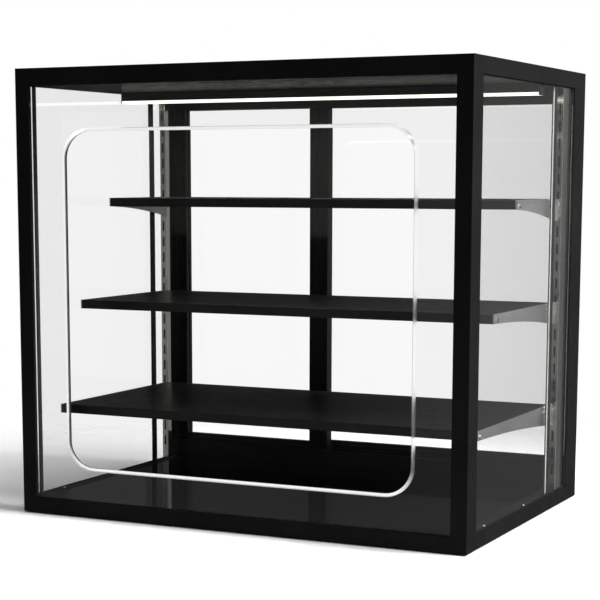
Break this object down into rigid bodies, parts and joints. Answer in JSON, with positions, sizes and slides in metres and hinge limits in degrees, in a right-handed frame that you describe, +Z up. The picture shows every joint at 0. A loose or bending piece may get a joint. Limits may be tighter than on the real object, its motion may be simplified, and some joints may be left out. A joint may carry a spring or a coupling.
{
  "type": "ambient display case",
  "caption": "Countertop ambient display case with a framed glass body, a round-cornered front opening, bracketed shelves, a light bar and rear sliding doors.",
  "frame": {"origin": "middle of the base, on the surface that the case stands on", "axes": "+X to the right of someone facing the front, +Y to the rear, +Z up; the front faces -Y"},
  "size_m": [0.9, 0.635, 0.835],
  "materials": {
    "frame_black": "satin powder coat",
    "sheet_dark": "satin powder coat",
    "gloss_black": "high gloss",
    "clear_glass": "polished",
    "black_gasket": "matte",
    "pad_rubber": "matte",
    "polished_steel": "polished",
    "bracket_steel": "satin",
    "screw_steel": "polished",
    "shelf_black": "satin",
    "housing_black": "black anodised",
    "diffuser": "frosted",
    "light_board": "satin",
    "cap_black": "satin",
    "driver_white": "satin",
    "lead_white": "satin",
    "switch_black": "satin",
    "rocker_black": "gloss",
    "pin_brass": "polished",
    "track_black": "black anodised",
    "door_black": "black anodised",
    "nylon": "satin"
  },
  "bodies": {
    "case": {"base_pads": "pad_rubber", "base_pan": "sheet_dark", "case_screws": "screw_steel", "ceiling_liner": "gloss_black", "corner_blocks": "frame_black", "deck_panel": "gloss_black", "door_jambs": "black_gasket", "front_bottom_rail": "frame_black", "front_glass": "clear_glass", "front_glass_seal": "black_gasket", "front_left_post": "frame_black", "front_right_post": "frame_black", "front_top_rail": "frame_black", "inlet_pins": "pin_brass", "led_driver": "driver_white", "left_bottom_rail": "frame_black", "left_glass": "clear_glass", "left_glass_seal": "black_gasket", "left_top_rail": "frame_black", "left_upright": "polished_steel", "light_board": "light_board", "light_diffuser": "diffuser", "light_end_caps": "cap_black", "light_housing": "housing_black", "light_lead": "lead_white", "lower_door_track": "track_black", "lower_left_bracket": "bracket_steel", "lower_right_bracket": "bracket_steel", "lower_shelf": "shelf_black", "middle_left_bracket": "bracket_steel", "middle_right_bracket": "bracket_steel", "middle_shelf": "shelf_black", "power_inlet": "switch_black", "rear_bottom_rail": "frame_black", "rear_left_post": "frame_black", "rear_right_post": "frame_black", "rear_top_rail": "frame_black", "right_bottom_rail": "frame_black", "right_glass": "clear_glass", "right_glass_seal": "black_gasket", "right_top_rail": "frame_black", "right_upright": "polished_steel", "roof_panel": "sheet_dark", "shelf_screws": "screw_steel", "switch_bezel": "switch_black", "upper_door_track": "track_black", "upper_left_bracket": "bracket_steel", "upper_right_bracket": "bracket_steel", "upper_shelf": "shelf_black"},
    "left_door": {"left_door_stile": "door_black", "left_door_top_rail": "door_black", "left_door_bottom_rail": "door_black", "left_door_glass": "clear_glass", "left_door_glides": "nylon"},
    "right_door": {"right_door_stile": "door_black", "right_door_top_rail": "door_black", "right_door_bottom_rail": "door_black", "right_door_glass": "clear_glass", "right_door_glides": "nylon"},
    "rocker": {"switch_rocker": "rocker_black"}
  },
  "joints": [
    {"name": "left_door_slide", "type": "slide", "parent": "case", "child": "left_door", "axis": [1, 0, 0], "range_m": [0, 0.511]},
    {"name": "right_door_slide", "type": "slide", "parent": "case", "child": "right_door", "axis": [1, 0, 0], "range_m": [-0.312, 0]},
    {"name": "switch_rocker_tilt", "type": "hinge", "parent": "case", "child": "rocker", "pos_m": [0.195, 0.31, 0.82], "axis": [1, 0, 0], "range_deg": [-20, 0]}
  ]
}
